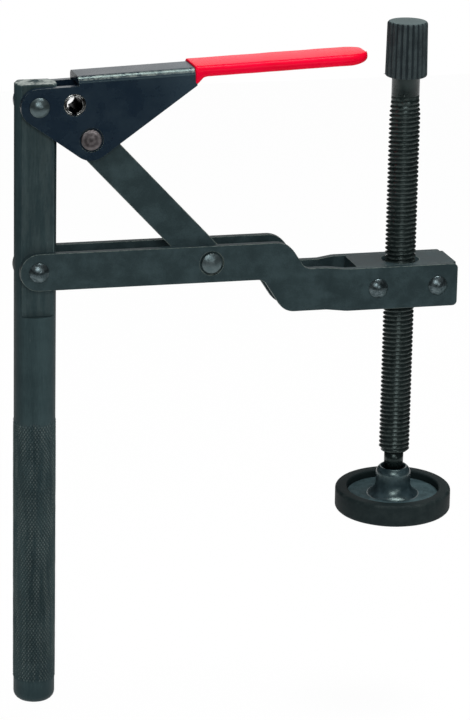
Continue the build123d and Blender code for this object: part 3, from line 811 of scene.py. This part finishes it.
def makePad():
    look = padLook
    low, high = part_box("spindle")
    reach = (low.x + high.x) / 2
    work = bmesh.new()
    under = look["floor"] - look["disc"]
    line = softOutline([
        (0, under, 0), (look["discRadius"], under, 0), (look["discRadius"], look["floor"], 0),
        (look["bore"], look["floor"], look["floorEdge"]), (look["bore"], look["rimTop"], look["innerEdge"]),
        (look["radius"], look["rimTop"], look["edge"]), (look["radius"], look["face"], look["edge"]),
        (0, look["face"], 0)], 5)
    lathe(work, line, 128)
    layer = wearAndPaintedLightLayer(work)
    for vert in work.verts:
        radius, height = hypot(vert.co.x, vert.co.y) / mm, vert.co.z / mm
        if radius > look["discRadius"] + 0.1 or height > look["floor"] + 0.1:
            vert.co.z -= look["waver"] * mm * (0.5 + 0.5 * noise.noise(vert.co * 90))
            edgeNear = max(0, 1 - hypot(radius - look["radius"], height - look["rimTop"]) / look["rubReach"])
            footNear = max(0, 1 - hypot(radius - look["radius"], height - look["face"]) / look["rubReach"])
            for loop in vert.link_loops:
                loop[layer] = max(edgeNear, footNear)
    placePad(work, reach)
    faceOut(work)
    settle(work, "padCap", "pad_cap", padRubber)

    work = cadCopy("pad_socket")
    easeEdges(work, sharpEdges(work, 40), look["pressedEdge"], wornAndPaintedLight=look["pressedWear"])
    for face in work.faces:  # the disc inside the rubber is duller than the boss
        widest = max(hypot(vert.co.x - reach, vert.co.y) for vert in face.verts)
        face.material_index = int(widest > look["bossReach"] * mm)
    socket = settle(work, "padSocket", "pad_socket", socketSteel)
    socket.data.materials.append(discSteel)
    evenShading(socket)


makePad()
print("pad made")


# grip: dipped vinyl, thicker at its collar and drawn to a rounded end

gripLook = {
    "tilt": 2.2, "start": 59.9, "end": 129.0, "half": 8.9, "top": 11.2, "under": 6.9, "corner": 2.0,
    "collarFoot": 3.55, "flare": 3.35, "lip": 1.3, "tipRadius": 8.6, "noseLength": 9.0, "noseRise": 1.5,
    "arc": 7, "stations": 70, "gather": 1.6, "tipCurve": 2.2, "waver": 0.10, "lipEdge": 0.5, "lipParts": 4,
}


def gripRings():  # the sleeve as rings of a rounded rectangle, -1 to 1 each way, closed at its mouth
    look = gripLook
    work = bmesh.new()
    arc = look["arc"]
    corners = []
    halfUp = (look["top"] - look["under"]) / 2
    for centreY, centreZ, start in ((1, 1, 0), (-1, 1, 90), (-1, -1, 180), (1, -1, 270)):
        for step in range(arc + 1):
            angle = radians(start + 90 * step / arc)
            across = centreY * (look["half"] - look["corner"]) + look["corner"] * cos(angle)
            up = centreZ * (halfUp - look["corner"]) + look["corner"] * sin(angle)
            corners.append((across / look["half"], up / halfUp))
    first = [work.verts.new((0, across, up)) for across, up in corners]
    work.faces.new(first)
    stations = []
    for index in range(look["stations"] + 1):
        share = 1 - (1 - index / look["stations"]) ** look["gather"]
        stations.append(look["start"] + (look["end"] - look["start"]) * share)
    loop = list(work.edges)
    rings = [first]
    while len(rings) < len(stations):
        made = bmesh.ops.extrude_edge_only(work, edges=loop)["geom"]
        loop = [item for item in made if isinstance(item, bmesh.types.BMEdge) and item.is_boundary]
        rings.append([item for item in made if isinstance(item, bmesh.types.BMVert)])
    return work, rings, stations, halfUp


def makeGrip():
    look = gripLook
    work, rings, stations, halfUp = gripRings()
    for verts, station in zip(rings, stations):
        ahead = look["end"] - station
        if ahead < look["tipRadius"]:
            bite = 1 - ahead / look["tipRadius"]
            half = look["half"] * sqrt(max(0.0, 1 - bite ** look["tipCurve"]))
        else:
            half = look["half"]
        thin = sqrt(max(0.0, 1 - max(0, 1 - ahead / look["corner"]) ** 2))
        behind = station - look["start"] - look["lip"]
        if behind < 0:
            drop = look["under"] - look["collarFoot"]
        else:
            bite = min(1, behind / look["flare"])
            drop = (look["under"] - look["collarFoot"]) * (1 - sqrt(1 - (1 - bite) ** 2))
        middle = (look["top"] + look["under"]) / 2
        for vert in verts:
            across, up = vert.co.y, vert.co.z
            height = middle + up * halfUp * thin
            if up < 0:
                height += up * drop - up * look["noseRise"] * max(0, 1 - ahead / look["noseLength"]) ** 2
            sag = look["waver"] * noise.noise(Vector((station / 9, across * 1.3, up)))
            lift = sag * (1 if abs(up) > 0.5 else 0)
            vert.co = Vector((station, across * (half + sag), height + lift)) * mm
    bmesh.ops.remove_doubles(work, verts=work.verts, dist=0.004 * mm)
    bmesh.ops.holes_fill(work, edges=[edge for edge in work.edges if edge.is_boundary])
    for face in work.faces:
        face.smooth = True
    mouth = (look["start"] + 0.1) * mm
    lip = [edge for edge in sharpEdges(work, 60) if max(vert.co.x for vert in edge.verts) < mouth]
    easeEdges(work, lip, look["lipEdge"], look["lipParts"])
    turn = Matrix.Rotation(radians(-look["tilt"]), 3, "Y")
    bmesh.ops.rotate(work, verts=work.verts, cent=(0, 0, 0), matrix=turn)
    leverPivot = [joint for joint in frame["joints"] if joint["name"] == "lever_pivot"][0]["pos_m"]
    bmesh.ops.translate(work, verts=work.verts, vec=leverPivot)
    faceOut(work)
    settle(work, "vinylGrip", "grip", vinylRed)


makeGrip()
print("grip made")


# floor, light and camera

stageLook = {
    "floorDrop": 14.0, "floorHalf": 0.8, "floorFront": 0.45, "floorColour": 0.92, "ownLight": 0.965,
    "fill": 0.40, "dimGlow": 0.03, "backTurn": 0.268, "backHalf": 0.22, "backTop": 0.45,
}


def seenWhite(bench):  # 1 on the rays that show the background, 0 on those that only light
    rays = [bench.node("ShaderNodeLightPath", {}, {}, kind)
            for kind in ("Is Camera Ray", "Is Glossy Ray", "Is Transmission Ray")]
    return bench.node("ShaderNodeMath", {"operation": "MINIMUM"}, {0: rays[0] + rays[1] + rays[2], 1: 1.0})


def makeFloor():
    look = stageLook
    work = bmesh.new()
    bmesh.ops.create_grid(work, x_segments=1, y_segments=1, size=look["floorHalf"])
    bmesh.ops.translate(
        work, verts=work.verts,
        vec=(0, look["floorHalf"] - look["floorFront"], cadBounds[0][2] - look["floorDrop"] * mm))
    mesh = bpy.data.meshes.new("floor")
    work.to_mesh(mesh)
    work.free()
    floor = bpy.data.objects.new("floor", mesh)
    bpy.context.scene.collection.objects.link(floor)
    finish = Finish("paleFloor", {"Roughness": 0.9, "Base Color": tone(*[look["floorColour"]] * 3)})
    glow = finish.node("ShaderNodeEmission", {}, {"Color": tone(1, 1, 1), "Strength": 1.0})
    surface = Wire(finish, finish.shader.outputs[0])
    both = finish.node(
        "ShaderNodeMixShader", {}, {0: seenWhite(finish) * look["ownLight"], 1: surface, 2: glow})
    finish.feed(finish.tree.nodes["Material Output"], "Surface", both)
    mesh.materials.append(finish.material)


def makeStudio():  # a white card stands behind; what shines elsewhere in a gloss is dim
    look = stageLook
    world = bpy.data.worlds.new("studio")
    bpy.context.scene.world = world
    world.use_nodes = True
    world.node_tree.nodes.clear()
    bench = NodeBench(world.node_tree)
    levels = [
        bench.node("ShaderNodeBackground", {}, {"Color": tone(1, 1, 1), "Strength": level})
        for level in (look["fill"], 1.0, look["dimGlow"])]
    way = bench.node("ShaderNodeTexCoord", {}, {}, "Generated")
    across, back, up = [bench.node("ShaderNodeSeparateXYZ", {}, {"Vector": way}, axis) for axis in "XYZ"]
    aside = across - look["backTurn"] * back
    half, top = look["backHalf"], look["backTop"]
    offCard = bench.between(aside * aside, half ** 2, 2 * half ** 2) + bench.between(up, top, top + 0.2)
    offCard = offCard + bench.between(0 - back, -0.3, 0.0)
    dim = bench.node("ShaderNodeMath", {"operation": "MINIMUM"}, {0: offCard, 1: 1.0})
    camera = bench.node("ShaderNodeLightPath", {}, {}, "Is Camera Ray")
    mirrored = bench.node("ShaderNodeMixShader", {}, {0: dim * (1 - camera), 1: levels[1], 2: levels[2]})
    every = bench.node("ShaderNodeMixShader", {}, {0: seenWhite(bench), 1: levels[0], 2: mirrored})
    bench.node("ShaderNodeOutputWorld", {}, {"Surface": every})


lampLook = {
    "overhead": {"place": (0.30, -0.05, 1.3), "size": 0.50, "power": 13.0},
    "frontSoft": {"place": (-0.20, -1.25, 0.75), "size": 0.6, "power": 7.5},
    "frontSpot": {"place": (0.42, -1.35, 0.26), "size": 0.30, "power": 1.6},
}
cameraLook = {
    "azimuth": 14.98, "elevation": 16.586, "roll": 1.105, "distance": 1.39278,
    "target": (0.07902, 0, 0.0183), "lens": 180,
}


def makeLamps():
    for name, look in lampLook.items():
        lamp = bpy.data.lights.new(name, "AREA")
        lamp.size = look["size"]
        lamp.energy = look["power"]
        holder = bpy.data.objects.new(name, lamp)
        bpy.context.scene.collection.objects.link(holder)
        holder.location = look["place"]
        aim = Vector(cameraLook["target"]) - holder.location
        holder.rotation_euler = aim.to_track_quat("-Z", "Y").to_euler()


def makeCamera():
    look = cameraLook
    camera = bpy.data.cameras.new("camera")
    camera.lens = look["lens"]
    camera.clip_end = 30
    holder = bpy.data.objects.new("camera", camera)
    bpy.context.scene.collection.objects.link(holder)
    turn = Matrix.Rotation(-radians(look["azimuth"]), 4, "Z")
    turn = turn @ Matrix.Rotation(radians(90 - look["elevation"]), 4, "X")
    turn = turn @ Matrix.Rotation(radians(look["roll"]), 4, "Z")
    place = Vector(look["target"]) + turn.to_3x3() @ Vector((0, 0, look["distance"]))
    holder.matrix_world = Matrix.Translation(place) @ turn
    bpy.context.scene.camera = holder


makeFloor()
makeStudio()
makeLamps()
makeCamera()
bpy.context.scene.view_settings.view_transform = "Standard"
print("stage, lamps and camera made")
